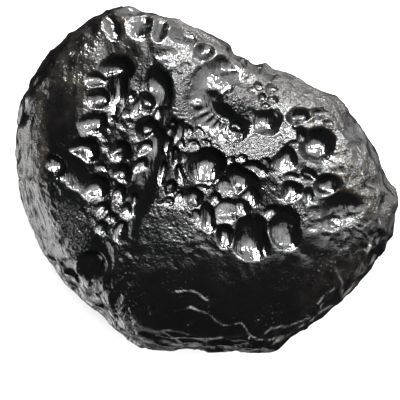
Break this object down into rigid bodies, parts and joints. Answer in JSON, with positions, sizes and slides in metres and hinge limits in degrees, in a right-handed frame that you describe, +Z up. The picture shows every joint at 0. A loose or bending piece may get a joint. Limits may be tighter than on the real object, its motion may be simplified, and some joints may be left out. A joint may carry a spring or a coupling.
{
  "type": "indochinite tektite",
  "caption": "Palm-sized lump of black natural glass, domed and slightly flattened, with a face of deep overlapping pits and furrows, lying on a small flat under its back",
  "frame": {"origin": "on the ground, below the middle of the lump's outline seen from above", "axes": "+Z up, out of the pitted face; +X along the longest way, from the rounded left flank to the blunt right tip; +Y towards the narrow upper peak"},
  "size_m": [0.0557, 0.0502, 0.0283],
  "materials": {
    "tektite_glass": "opaque black natural glass, soft natural polish, pitted and finely wrinkled"
  },
  "bodies": {
    "root": {"tektite": "tektite_glass"}
  },
  "joints": []
}
